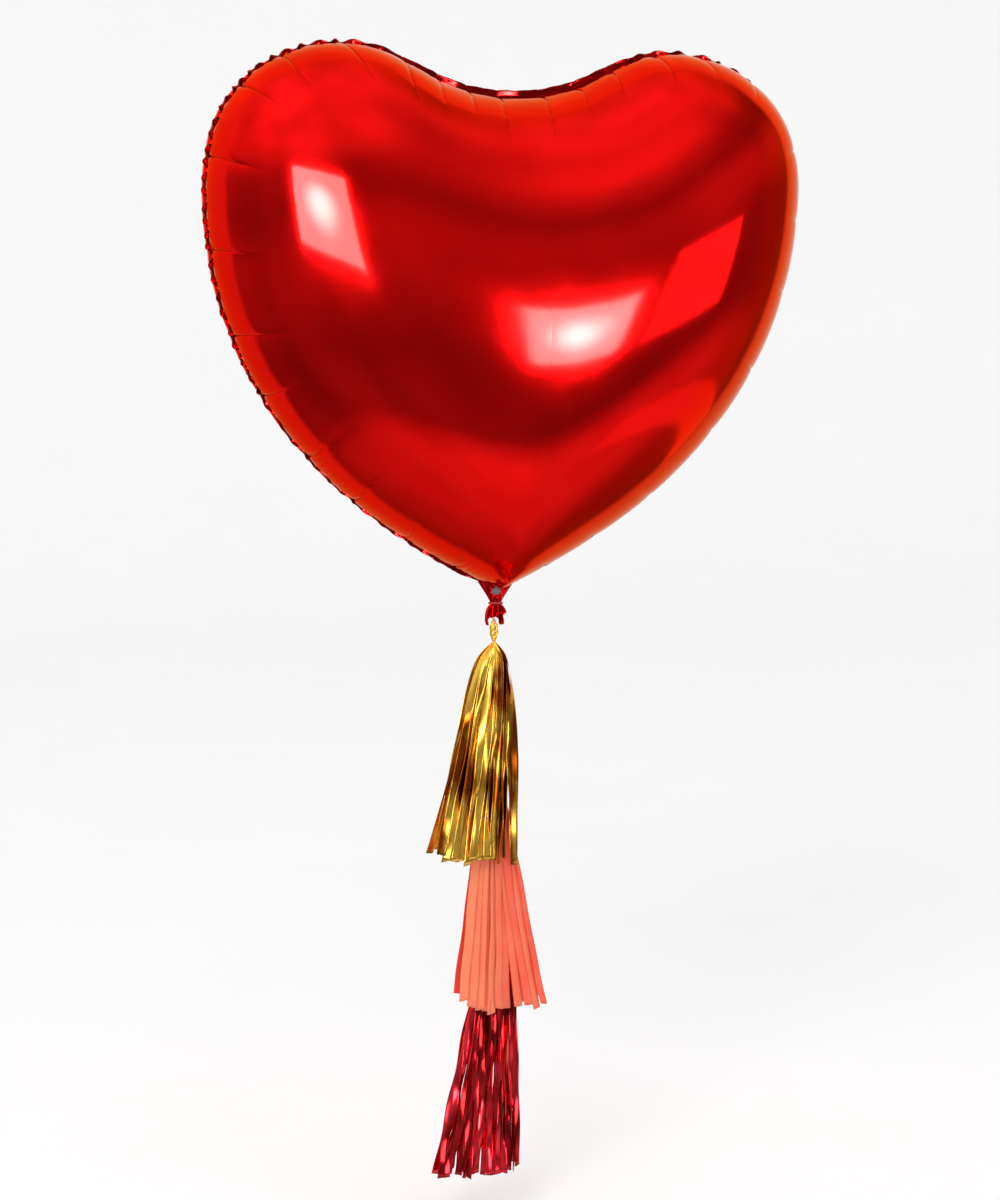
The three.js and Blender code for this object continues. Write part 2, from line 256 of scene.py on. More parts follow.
def tissue_material():
    """Thin matt tissue paper: soft, slightly see-through, with fibres and pressed creases."""
    material, tree, shader = new_material("coral_tissue")
    place = add(tree, "ShaderNodeTexCoord").outputs["Object"]
    cloud = noise(tree, place, 30.0, 5.0)
    own = add(tree, "ShaderNodeObjectInfo").outputs["Random"]
    cloud = arithmetic(tree, "MULTIPLY_ADD", own, 0.6, arithmetic(tree, "MULTIPLY_ADD", cloud, 0.5, -0.08))
    color = ramp(tree, cloud, [(0.2, (0.98, 0.17, 0.11)), (0.75, (1.0, 0.34, 0.18))])
    tree.links.new(color, shader.inputs["Base Color"])
    shader.inputs["Roughness"].default_value = 0.9
    shader.inputs["Specular IOR Level"].default_value = 0.15
    fibres = noise(tree, stretched(tree, place, (1, 1, 0.12)), 900.0, 4.0)
    creases = noise(tree, stretched(tree, place, (0.15, 0.15, 1)), 160.0, 2.0)
    normal = bump(tree, fibres, 0.25, 0.0004, bump(tree, creases, 0.35, 0.0015))
    tree.links.new(normal, shader.inputs["Normal"])
    glow = add(tree, "ShaderNodeBsdfTranslucent")
    tree.links.new(color, glow.inputs["Color"])
    tree.links.new(normal, glow.inputs["Normal"])
    mix = add(tree, "ShaderNodeMixShader", inputs={"Fac": 0.35})
    tree.links.new(shader.outputs["BSDF"], mix.inputs[1])
    tree.links.new(glow.outputs["BSDF"], mix.inputs[2])
    tree.links.new(mix.outputs["Shader"], tree.nodes["Material Output"].inputs["Surface"])
    return material


def cord_material(name, dark, light):
    """Spun thread: fine slanting fibres across each ply."""
    material, tree, shader = new_material(name)
    place = add(tree, "ShaderNodeTexCoord").outputs["Object"]
    fibres = noise(tree, stretched(tree, place, (1, 1, 0.3)), 2500.0, 3.0)
    tree.links.new(ramp(tree, fibres, [(0.3, dark), (0.7, light)]), shader.inputs["Base Color"])
    shader.inputs["Roughness"].default_value = 0.65
    shader.inputs["Sheen Weight"].default_value = 0.3
    tree.links.new(bump(tree, fibres, 0.5, 0.0002), shader.inputs["Normal"])
    return material


def valve_material():
    """Milky grey film, with a faint welded texture."""
    material, tree, shader = new_material("valve_film")
    place = add(tree, "ShaderNodeTexCoord").outputs["Object"]
    cloud = noise(tree, place, 220.0, 4.0)
    grey = ramp(tree, cloud, [(0.3, (0.10, 0.105, 0.115)), (0.7, (0.22, 0.225, 0.235))])
    tree.links.new(grey, shader.inputs["Base Color"])
    shader.inputs["Roughness"].default_value = 0.28
    shader.inputs["Coat Weight"].default_value = 0.4
    tree.links.new(bump(tree, cloud, 0.3, 0.0004), shader.inputs["Normal"])
    return material


# Each foil's deep and bright colours are patches of painted reflection, and its edge colour a painted rim
# sheen; on the heart's red foil the deep and bright colours are nearly the same.
red_foil = foil_material("red_foil", (0.84, 0.004, 0.0038), (0.90, 0.005, 0.005), (0.82, 0.035, 0.014),
                         0.09, 0.04, 22.0, coats=(0.02, 0.15))
# The neck is the same red film as the heart; its darker colours are painted shade, and its patches painted
# reflection.
neck_foil = foil_material("neck_foil", (0.36, 0.002, 0.005), (0.64, 0.004, 0.010), (0.55, 0.03, 0.03),
                          0.20, 0.12, 90.0, 60.0)
gold_foil = foil_material("gold_foil", (0.24, 0.05, 0.002), (1.0, 0.60, 0.085), (0.90, 0.48, 0.09),
                          0.17, 0.07, 30.0, 26.0, (1, 1, 0.4), coats=(0.02, 0.1))
crimson_foil = foil_material("crimson_foil", (0.36, 0.002, 0.003), (1.0, 0.030, 0.048), (1.0, 0.14, 0.16),
                             0.16, 0.13, 40.0, 30.0, (1, 1, 0.4), coats=(0.25, 0.7))
coral_tissue = tissue_material()
red_cord = cord_material("red_cord", (0.30, 0.01, 0.01), (0.55, 0.03, 0.03))
pale_cord = cord_material("pale_cord", (0.62, 0.58, 0.50), (0.88, 0.85, 0.78))
valve_film = valve_material()

# ---------------------------------------------------------------- the heart's seam

def bezier(start, first, second, end, steps=400):
    t = np.linspace(0, 1, steps, endpoint=False)[:, None]
    start, first, second, end = (np.array(p, float) for p in (start, first, second, end))
    return (1 - t) ** 3 * start + 3 * (1 - t) ** 2 * t * first + 3 * (1 - t) * t ** 2 * second + t ** 3 * end


def heart_seam(count):
    """Equally spaced points along the seam, anticlockwise from the heart's point, and its length."""
    tip_out = (TIP_REACH * math.cos(TIP_SLOPE), TIP_Z + TIP_REACH * math.sin(TIP_SLOPE))
    half = np.vstack([
        bezier((0, TIP_Z), tip_out, (WIDEST[0], WIDEST[1] - WIDEST_REACH_DOWN), WIDEST),
        bezier(WIDEST, (WIDEST[0], WIDEST[1] + WIDEST_REACH_UP), (LOBE[0] + LOBE_REACH_OUT, LOBE[1]), LOBE),
        bezier(LOBE, (LOBE[0] - LOBE_REACH_IN, LOBE[1]), (NOTCH_REACH, NOTCH_Z), (0, NOTCH_Z)),
        [(0, NOTCH_Z)]])
    loop = np.vstack([half, half[-2:0:-1] * (-1, 1), half[:1]])
    along = np.concatenate([[0], np.cumsum(np.linalg.norm(np.diff(loop, axis=0), axis=1))])
    wanted = np.arange(count) / count * along[-1]
    return np.column_stack([np.interp(wanted, along, loop[:, k]) for k in (0, 1)]), along[-1]


FINE = 2400
fine_seam, seam_length = heart_seam(FINE)
fine_step = seam_length / FINE
half_length = seam_length / 2
seam_middles = (fine_seam[::2] + np.roll(fine_seam, -1, axis=0)[::2]) / 2
fine_tangent = np.roll(fine_seam, -1, axis=0) - np.roll(fine_seam, 1, axis=0)
fine_outward = np.column_stack([fine_tangent[:, 1], -fine_tangent[:, 0]])
fine_outward /= np.linalg.norm(fine_outward, axis=1)[:, None]


def blurred(values, width):
    """Values round the fine seam, smoothed over about width millimetres."""
    frequency = np.fft.fftfreq(FINE, fine_step)
    keep = np.exp(-2 * (math.pi * frequency * width) ** 2)
    keep = keep.reshape(-1, *[1] * (values.ndim - 1))
    return np.real(np.fft.ifft(np.fft.fft(values, axis=0) * keep, axis=0))


def round_seam(place, values):
    """Values of the fine seam at seam lengths."""
    at = np.arange(FINE + 1) * fine_step
    closed = np.concatenate([values, values[:1]])
    return np.stack([np.interp(place % seam_length, at, column) for column in closed.reshape(FINE + 1, -1).T],
                    axis=-1).reshape(*np.shape(place), *values.shape[1:])


def seam_distance(points):
    """A smooth distance to the seam, for points more than a few millimetres away from it."""
    result = np.empty(len(points))
    for start in range(0, len(points), 4000):
        part = points[start:start + 4000]
        apart = np.linalg.norm(part[:, None] - seam_middles[None], axis=2)
        result[start:start + 4000] = np.sqrt(2 / (2 * fine_step / apart ** 3).sum(axis=1))
    return result


# ---------------------------------------------------------------- creases and ruffles along the seam

# All against the share of the way from the heart's point to its notch, the same on both sides.
SHARES = (0, 0.2, 0.45, 0.65, 0.8, 0.9, 1)
CREASE_PITCH = (90, 95, 92, 84, 76, 46, 40)          # millimetres between the long creases of the domes
FULLNESS = (6, 9, 5.5, 5, 4, 1, 0)                   # how much the domes swell beyond their seam
PILLOW_RISE = (0.5, 1.8, 2.4, 2.4, 2.2, 1.8, 1.6)    # how far the film stands out between creases
CREASE_CURL = (-0.3, -0.25, 0.1, 0.08, 0, 0.15, 0.2)  # sideways run of a crease, per millimetre inwards
RUFFLE_PITCH = (30, 24, 18, 17, 20, 40, 50)          # millimetres between the folds of the flange
RUFFLE_TILT = (10, 42, 55, 60, 55, 14, 6)            # degrees the flange turns at a fold
SEAM_WAVE = 1.5                                      # sideways wave of the seam where the ruffles are fullest

FIRST_CREASE = 62.0                                  # along the seam from the heart's point
CREASE_STOP = 16                                     # no crease is nearer the notch than this
PILLOW_REACH = 62                                    # how far in the film stands out between creases
RUFFLE_REACH = 13                                    # how far in the flange's folds carry on
COMB = {"middle": 24, "width": 15, "pitch": 8.5}     # short hatching side by side, inside the seam
PUCKER_FADE = (240, 330)                             # the film is plain from here towards the crown
FLANGE_PAINTED_SHADE = 0.88                                   # how much painted shade darkens the whole flange, and the creases
CREASE_PAINTED_SHADE = 0.8


def share_of(place):
    return 1 - np.abs(place % seam_length / half_length - 1)


def crease_places():
    """Seam lengths of the creases, up the right side and then up the left, meeting at the notch."""
    sides = []
    for _ in range(2):
        place, places = FIRST_CREASE, []
        while place < half_length - CREASE_STOP:
            places.append(place)
            pitch = np.interp(place / half_length, SHARES, CREASE_PITCH)
            place += pitch * rng.uniform(0.72, 1.28)
        sides.append(np.array(places))
    right, left = sides
    return np.concatenate([right, (seam_length - left)[::-1]])


creases = crease_places()
crease_depth = rng.uniform(2.0, 3.2, len(creases))
crease_reach = rng.uniform(60, 100, len(creases)) * (1 + 0.5 * smooth(share_of(creases), 0.75, 0.9))
crease_curl = np.interp(share_of(creases), SHARES, CREASE_CURL) + rng.uniform(-0.06, 0.06, len(creases))


def column_places():
    """Seam lengths of the columns, crowded together beside the creases."""
    place = np.arange(FINE) * fine_step
    apart = np.abs((place[:, None] - creases[None] + half_length) % seam_length - half_length).min(axis=1)
    crowding = np.cumsum(np.concatenate([[0], 1 + 3.2 * np.exp(-(apart / 6) ** 2)]))
    wanted = np.arange(COLUMNS) / COLUMNS * crowding[-1]
    return np.interp(wanted, crowding, np.arange(FINE + 1) * fine_step)


along_seam = column_places()
seam = round_seam(along_seam, fine_seam)
outward = round_seam(along_seam, fine_outward)
outward /= np.linalg.norm(outward, axis=1)[:, None]


def ruffle_phase():
    """Counts the folds of the flange along the fine seam, as a whole even number of half waves."""
    place = np.arange(FINE) * fine_step
    jitter = blurred(rng.normal(size=FINE), 22)
    rate = 1 / np.interp(share_of(place), SHARES, RUFFLE_PITCH) * np.exp(0.25 * jitter / jitter.std())
    phase = np.concatenate([[0], np.cumsum(rate)]) * fine_step
    return phase * (2 * round(phase[-1] / 2) / phase[-1])


fold_phase = np.interp(along_seam, np.arange(FINE + 1) * fine_step, ruffle_phase())
fold_share = np.interp(share_of(along_seam), SHARES, np.array(RUFFLE_TILT) / max(RUFFLE_TILT))


def gentle(place, away, seed):
    """Broad, shallow waves in the film."""
    local = np.random.default_rng(seed)
    total = np.zeros(np.broadcast(place, away).shape)
    for _ in range(6):
        turns = local.integers(2, 9)
        phase, slope = local.uniform(0, 2 * math.pi), local.uniform(-0.02, 0.02)
        total = total + np.sin(2 * math.pi * turns * place / seam_length + slope * away + phase)
    return total / 6


def pucker(place, away, seed):
    """How far the film stands out at seam places, away millimetres from the seam along the film,
    and a mask along the sharp creases, where painted shade darkens the film."""
    nearest = np.full(np.broadcast(place, away).shape, 1e3)
    valley, crease_shade = 0, 0
    for crease, depth, reach, curl in zip(creases, crease_depth, crease_reach, crease_curl):
        gap = (place - crease + half_length) % seam_length - half_length - curl * away * smooth(away, 10, 60)
        gap = np.abs(gap)
        nearest = np.minimum(nearest, gap)
        fade = np.clip(1 - away / reach, 0, 1)
        valley = valley + depth * fade * np.exp(-gap / (0.9 + 0.006 * away))
        # The mask of painted shade along each crease.
        crease_shade = np.maximum(crease_shade, fade ** 0.5 * np.exp(-(gap / 0.9) ** 2))
    full = np.interp(share_of(place), SHARES, FULLNESS)
    rise = np.interp(share_of(place), SHARES, PILLOW_RISE)
    pillow = (full + rise * np.tanh((nearest + 3) / 14)) * np.exp(-(away / PILLOW_REACH) ** 2)
    ruffle = 0.6 * fold_share * np.sin(math.pi * fold_phase) ** 2 * np.exp(-(away / RUFFLE_REACH) ** 2)
    comb_zone = smooth(np.sin(2 * math.pi * 9 * place / seam_length + 2.1 * seed), 0.0, 0.7)
    comb_zone = comb_zone * (0.12 + 0.25 * (1 - smooth(share_of(place), 0.2, 0.42)))
    comb = comb_zone * np.sin(2 * math.pi * place / COMB["pitch"] + 2 * np.sin(place / 31))
    comb = comb * np.exp(-((away - COMB["middle"]) / COMB["width"]) ** 2)
    return pillow - valley + ruffle + comb, crease_shade


# ---------------------------------------------------------------- foil panels

def dome_points(side, seed):
    """Rows of points from the flange's edge to the crown of one panel, as rows x COLUMNS x 3,
    and how much painted shade darkens the film at each: all of the flange, and the sharp creases."""
    inward = -round_seam(along_seam, blurred(fine_outward, 50))
    shares = (np.arange(ROWS) / ROWS)[:, None, None] ** ROW_POWER
    centre = np.array([0, CENTRE_Z])
    flat = ((1 - shares) ** 2 * seam + 2 * shares * (1 - shares) * (seam + inward * INWARD_PULL)
            + shares ** 2 * centre)
    direct = np.linalg.norm(flat - seam, axis=2)
    away = seam_distance(flat.reshape(-1, 2)).reshape(direct.shape)
    away = direct + (away - direct) * smooth(direct, 8, 25)
    crown = seam_distance(centre[None].astype(float))[0]
    share = np.minimum(away / crown, 1)
    rise = DOME_RISE * np.sqrt(share * (DOME_FULLNESS - (DOME_FULLNESS - 1) * share))
    dome = np.stack([flat[..., 0], side * rise, flat[..., 1]], axis=-1)
    dome = np.concatenate([dome, np.broadcast_to([0, side * DOME_RISE, CENTRE_Z], (1, COLUMNS, 3))])
    step = np.linalg.norm(np.diff(dome, axis=0), axis=2)
    along_film = np.concatenate([np.zeros((1, COLUMNS)), np.cumsum(step, axis=0)])
    across = np.roll(dome, -1, axis=1) - np.roll(dome, 1, axis=1)
    normal = np.cross(across, np.gradient(dome, axis=0))
    normal /= np.maximum(np.linalg.norm(normal, axis=2), 1e-9)[..., None]
    normal *= np.sign(normal[..., 1:2] * side + 1e-12)
    normal[0] = np.stack([outward[:, 0], np.zeros(COLUMNS), outward[:, 1]], axis=-1)
    out, crease_shade = pucker(along_seam[None], along_film, seed)
    out += 0.4 * gentle(along_seam[None], along_film, 11 + seed) * smooth(along_film, 10, 120)
    out *= (1 - smooth(along_film, *PUCKER_FADE)) * smooth(along_film, -4, 7)
    dome = dome + normal * out[..., None]
    wave = SEAM_WAVE * fold_share * np.sin(math.pi * fold_phase)
    dome[..., 1] += wave * np.exp(-along_film / 9)
    flange = flange_points(dome[0])
    dome[..., 1] += side * FILM_GAP
    flange[..., 1] += side * FILM_GAP
    # Painted shade: the whole flange and the sharp creases are darkened in the foil's colour.
    painted_shading = np.concatenate([np.tile([[FLANGE_PAINTED_SHADE]], (len(flange), COLUMNS)), crease_shade[1:] * CREASE_PAINTED_SHADE])
    return np.concatenate([flange, dome[1:]]), painted_shading


def flange_points(rim):
    """Rows of the ruffled flange, from its edge to the rim. It turns to and fro at its folds."""
    angle = math.radians(max(RUFFLE_TILT)) * fold_share * np.cos(math.pi * fold_phase)
    edge = FLANGE_WIDTH * (1 + 0.05 * np.sin(along_seam / 4.1) * np.sin(along_seam / 17))
    edge = edge * (0.45 + 0.55 * smooth(share_of(along_seam) * half_length, 5, 50))
    rows = []
    for share in (1, 0.8, 0.6, 0.4, 0.2, 0):
        reach = edge * share
        lift = reach * np.sin(angle) * (0.7 + 0.3 * share)
        flat = reach * np.cos(angle)
        rows.append(rim + np.stack([outward[:, 0] * flat, lift, outward[:, 1] * flat], axis=-1))
    return np.array(rows)


def panel_faces(row_count):
    """Quads of the dense rows, a stitched row, quads of the thinned rows and a fan at the crown."""
    dense = row_count - (ROWS - THINNED_ROW) - 1
    faces = grid_faces(dense, COLUMNS, True)
    few = COLUMNS // 4
    first_few = dense * COLUMNS
    last_dense = (dense - 1) * COLUMNS
    for i in range(few):
        fine = [last_dense + (4 * i + k) % COLUMNS for k in range(5)]
        faces.append([*fine, first_few + (i + 1) % few, first_few + i])
    thin_rows = row_count - dense - 1
    faces += (np.array(grid_faces(thin_rows, few, True)) + first_few).tolist()
    last = first_few + (thin_rows - 1) * few
    crown = last + few
    faces += [[last + i, last + (i + 1) % few, crown] for i in range(few)]
    return faces, dense


def foil_panel(name, side, seed):
    rows, painted_shading = dome_points(side, seed)
    faces, dense = panel_faces(len(rows))
    points = [rows[:dense].reshape(-1, 3), rows[dense:-1, ::4].reshape(-1, 3), rows[-1, :1]]
    if side > 0:
        faces = [face[::-1] for face in faces]
    panel = mesh_object(name, lean(np.vstack(points)), faces, red_foil)
    # The amounts of painted shade go onto the mesh as a point attribute, for the foil material.
    amounts = [painted_shading[:dense].ravel(), painted_shading[dense:-1, ::4].ravel(), painted_shading[-1, :1]]
    panel.data.attributes.new("fold", "FLOAT", "POINT").data.foreach_set("value", np.concatenate(amounts))
    return thicken(panel, FILM_THICKNESS)


front_foil = foil_panel("front_foil", -1, 1)
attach(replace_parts(front_foil, "front_panel"), "balloon")
back_foil = foil_panel("back_foil", 1, 4)
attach(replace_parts(back_foil, "back_panel"), "balloon")

# ---------------------------------------------------------------- neck

NECK_HEIGHTS = (-27, -22, -16, -12, -8, -4, -1.5, 1.5, 5, 9, 15, 21, 27, 33)
NECK_LEFT = (12, 13.7, 14, 13.5, 12.5, 10.5, 7.4, 7.4, 9.5, 12, 16, 20, 24, 26)
NECK_RIGHT = (11, 11.5, 10, 15, 13.5, 10.5, 7.4, 7.4, 9.5, 12, 16, 20, 24, 26)
NECK_PLEAT = (3.2, 3.0, 2.6, 2.2, 1.9, 1.4, 0.9, 0.9, 1.5, 1.6, 1.6, 1.2, 0.4, 0)
NECK_FLAT = (0, 0, 0, 0, 0, 0, 0, 0, 0.1, 0.9, 1, 1, 1, 1)     # how far the middle is smoothed flat
NECK_TOP_Z = 31
RUFFLE_ARCH = {"x": -1.2, "half_width": 8.5, "height": 9.5}
PORT = {"z": 15, "half_width": 6.5, "half_height": 4.5}


def neck_sheet(side):
    """One film of the neck, gathered at the tie, ragged and arched at its end."""
    across = np.linspace(-1, 1, 121)
    down = np.linspace(0, 1, 141)[:, None]
    arch = np.clip(1 - ((across * 12.5 - RUFFLE_ARCH["x"]) / RUFFLE_ARCH["half_width"]) ** 2, 0, 1) ** 0.5
    ragged = 0.7 * np.sin(9 * across + side) + 0.4 * np.sin(23 * across)
    end = NECK_HEIGHTS[0] + RUFFLE_ARCH["height"] * arch + ragged
    z = NECK_TOP_Z + (end[None] - NECK_TOP_Z) * down
    left = np.interp(z, NECK_HEIGHTS, NECK_LEFT)
    right = np.interp(z, NECK_HEIGHTS, NECK_RIGHT)
    x = np.where(across < 0, across * left, across * right)
    flatness = np.interp(z, NECK_HEIGHTS, NECK_FLAT)
    pleat = np.interp(z, NECK_HEIGHTS, NECK_PLEAT) * (1 - flatness * (1 - smooth(np.abs(x), 6, 11)))
    y = pleat * np.cos(3.4 * math.pi * across[None] + 0.8 + 0.04 * z) + side * (FILM_GAP + 0.35)
    return np.stack([x, y, z], axis=-1)


def neck_film(name, side):
    points = neck_sheet(side)
    rows, columns = points.shape[:2]
    points = points.reshape(-1, 3)
    faces = grid_faces(rows, columns, False)
    if side < 0:
        # The fill port: faces inside the oval go, and the ring left round it is drawn onto the oval.
        offset = (points[:, [0, 2]] - (0, PORT["z"])) / (PORT["half_width"], PORT["half_height"])
        radius = np.linalg.norm(offset, axis=1)
        faces = [f for f in faces if radius[f].mean() > 1]
        used = np.zeros(len(points), bool)
        used[np.unique(faces)] = True
        near = used & (radius < 1.12)
        points[np.ix_(near, [0, 2])] = (offset[near] / radius[near, None]
                                        * (PORT["half_width"], PORT["half_height"]) + (0, PORT["z"]))
    else:
        faces = [f[::-1] for f in faces]
    used = np.unique(faces)
    renumber = {old: new for new, old in enumerate(used)}
    faces = [[renumber[i] for i in f] for f in faces]
    obj = mesh_object(name, lean(points[used]), faces, neck_foil)
    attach(thicken(obj, 0.3), "balloon")


neck_film("neck_front_film", -1)
neck_film("neck_back_film", 1)


def valve():
    """A flat tube of film with a round-cornered foot and a long weld along each edge."""
    across = np.linspace(-1, 1, 25)
    down = np.linspace(0, 1, 80)[:, None]
    z = 95 + (8.5 - 95) * down + 0 * across
    half = 7.6 - 0.5 * np.cos(40 * down)
    x = across * half
    puff = 0.32 * (1 - across ** 2) ** 0.5 * smooth(z, 14, 40)
    crease = 0.06 * np.sin(z / 2.3 + 5 * across)
    sheets = [np.stack([x, side * (0.08 + puff) + crease, z], axis=-1).reshape(-1, 3) for side in (-1, 1)]
    faces = grid_faces(80, 25, False)
    back = [[i + len(sheets[0]) for i in f[::-1]] for f in faces]
    obj = mesh_object("valve_tube", lean(np.vstack(sheets)), faces + back, valve_film)
    thicken(obj, 0.1)
    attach(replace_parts(obj, "self_sealing_valve"), "balloon")


valve()

# ---------------------------------------------------------------- cords and twisted loops

def sweep(name, path, radius, material, plies=2, ply_depth=0.3, turn=6.0, closed=False, sides=20, flat=1.0):
    """A rope along a path: its section has plies lobes, which make one turn in turn millimetres."""
    path = np.asarray(path, float)
    after = np.roll(path, -1, axis=0)
    before = np.roll(path, 1, axis=0)
    if not closed:
        after[-1], before[0] = path[-1], path[0]
    heading = after - before
    heading /= np.linalg.norm(heading, axis=1)[:, None]
    normals = np.empty_like(path)
    normal = np.cross(heading[0], (0.13, 0.97, 0.21))
    for i, ahead in enumerate(heading):
        normal = normal - ahead * (normal @ ahead)
        normal = normal / np.linalg.norm(normal)
        normals[i] = normal
    steps = np.linalg.norm(np.diff(path, axis=0, append=path[:1]), axis=1)
    along = np.concatenate([[0], np.cumsum(steps)])
    total = along[-1] if closed else along[-2]
    along = along[:-1]
    turns = max(round(total / turn), 1) if closed else total / turn
    if closed:
        # Carried once round, the section comes back turned; the difference is spread along the loop.
        carried = normals[-1] - heading[0] * (normals[-1] @ heading[0])
        gap = math.atan2(np.cross(carried, normals[0]) @ heading[0], carried @ normals[0])
    else:
        gap = 0
    side_way = np.cross(heading, normals)
    angle = np.linspace(0, 2 * math.pi, sides, endpoint=False)
    share = (along / total)[:, None]
    spin = 2 * math.pi * turns * share / (plies if closed else 1) + gap * share
    size = np.broadcast_to(np.asarray(radius, float).reshape(-1, 1), (len(path), 1))
    local = size * (1 - ply_depth + ply_depth * np.abs(np.cos(plies * (angle[None]) / 2)))
    turned = angle[None] + spin
    ring = (path[:, None] + (local * np.cos(turned))[..., None] * normals[:, None]
            + (local * np.sin(turned) * flat)[..., None] * side_way[:, None])
    rows = len(path)
    faces = grid_faces(rows, sides, True)
    points = ring.reshape(-1, 3)
    if closed:
        last = (rows - 1) * sides
        faces += [[last + i, last + (i + 1) % sides, (i + 1) % sides, i] for i in range(sides)]
    else:
        points = np.vstack([points, path[:1], path[-1:]])
        start, end = rows * sides, rows * sides + 1
        faces += [[(i + 1) % sides, i, start] for i in range(sides)]
        last = (rows - 1) * sides
        faces += [[last + i, last + (i + 1) % sides, end] for i in range(sides)]
    return mesh_object(name, points, faces, material)


def neck_tie():
    turns = 3
    angle = np.linspace(0, 2 * math.pi * turns, 260)
    square = 0.75
    x = 9.1 * np.sign(np.cos(angle)) * np.abs(np.cos(angle)) ** square
    y = 2.75 * np.sign(np.sin(angle)) * np.abs(np.sin(angle)) ** square
    z = 1.35 * (angle / angle[-1] * 2 - 1) + 0.12 * np.sin(3 * angle)
    coil = np.column_stack([x, y, z])
    obj = sweep("tie_coil", lean(coil), 0.55, red_cord, plies=2, turn=3.2, sides=12)
    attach(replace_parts(obj, "neck_tie"), "balloon")
    knot_angle = np.linspace(0, 2 * math.pi, 150, endpoint=False)
    knot = np.column_stack([
        np.sin(knot_angle) + 2 * np.sin(2 * knot_angle),
        -1.3 * np.sin(3 * knot_angle),
        np.cos(knot_angle) - 2 * np.cos(2 * knot_angle)]) * 0.85 + (0, TAIL_Y - 0.6, 0)
    obj = sweep("tie_knot", lean(knot), 0.62, red_cord, plies=2, turn=3.2, closed=True, sides=12)
    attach(obj, "balloon")


neck_tie()


def cord_with_eye(name, node, body, top_z, pivot_z):
    """A two-ply cord down to an eye; the loop's top rests in the eye at the pivot."""
    eye_radius, tube = 3.5, 0.62
    eye_z = pivot_z + 1.35
    angle = np.linspace(-0.5 * math.pi, 1.5 * math.pi, 60)[::-1] - math.pi
    ring = np.column_stack([0.25 * np.cos(angle / 2), eye_radius * np.cos(angle),
                            eye_z + eye_radius * np.sin(angle)])
    straight = np.linspace(top_z, eye_z + eye_radius + 1.6, max(int((top_z - eye_z) / 1.2), 8))
    sway = 0.15 * np.sin(straight / 9)
    down = np.column_stack([sway, 0.1 * np.cos(straight / 7), straight])
    path = np.vstack([down, ring])
    path[:, 1] += TAIL_Y
    obj = sweep(name, path, tube, pale_cord, plies=2, turn=3.4, sides=14)
    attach(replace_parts(obj, node), body)
    wrap_angle = np.linspace(0, 2 * math.pi * 3, 90)
    top = eye_z + eye_radius + 0.6
    whip = np.column_stack([1.0 * np.cos(wrap_angle), 1.0 * np.sin(wrap_angle) + TAIL_Y,
                            top + 1.5 * wrap_angle / wrap_angle[-1]])
    obj = sweep(name + "_whipping", whip, 0.4, pale_cord, plies=2, turn=2.4, sides=10)
    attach(obj, body)


cord_with_eye("hanging_twine", "hang_cord", "hang_cord", -3.6, GOLD_PIVOT_Z)
cord_with_eye("upper_twine", "upper_link_cord", "gold_tassel", GOLD_PIVOT_Z + HEAD_END_Z - 0.3, CORAL_PIVOT_Z)
cord_with_eye("lower_twine", "lower_link_cord", "coral_tassel", CORAL_PIVOT_Z + HEAD_END_Z - 0.3, RED_PIVOT_Z)


def twisted_loop(name, node, body, pivot_z, material):
    """A sheet twisted into a rope and bent into a narrow loop, whose legs run into the stem."""
    share = np.linspace(0, 2 * math.pi, 120, endpoint=False)
    height = LOOP_HEIGHT
    z = -height / 2 + height / 2 * np.cos(share)
    x = 3.0 * np.sin(share)
    path = np.column_stack([x, TAIL_Y + 0.35 * np.sin(2 * share), pivot_z + z])
    thickness = 1.5 + 1.2 * smooth(-z, 2.5, 9)
    obj = sweep(name, path, thickness, material, plies=3, ply_depth=0.42, turn=9.0, closed=True, sides=24)
    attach(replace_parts(obj, node), body)
    stem_z = np.linspace(-height + 0.6, HEAD_TOP_Z + 0.4, 16)
    stem = np.column_stack([0 * stem_z, 0 * stem_z + TAIL_Y, pivot_z + stem_z])
    width = np.linspace(1.9, 2.6, 16)
    obj = sweep(name + "_stem", stem, width, material, plies=3, ply_depth=0.35, turn=7.0, sides=24)
    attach(obj, body)


def pleated_head(name, node, body, pivot_z, material):
    """The folded sheet, gathered under the loop: a narrow pleated bulb inside the strips."""
    z = np.linspace(HEAD_TOP_Z, HEAD_END_Z, 26)
    share = (HEAD_TOP_Z - z) / (HEAD_TOP_Z - HEAD_END_Z)
    width = 1.6 + 3.2 * np.sin(math.pi * np.minimum(share * 0.62, 0.5)) ** 0.8
    path = np.column_stack([0 * z, 0 * z + TAIL_Y, pivot_z + z])
    obj = sweep(name, path, width, material, plies=9, ply_depth=0.3, turn=90.0, sides=54)
    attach(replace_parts(obj, node), body)


# ---------------------------------------------------------------- strips

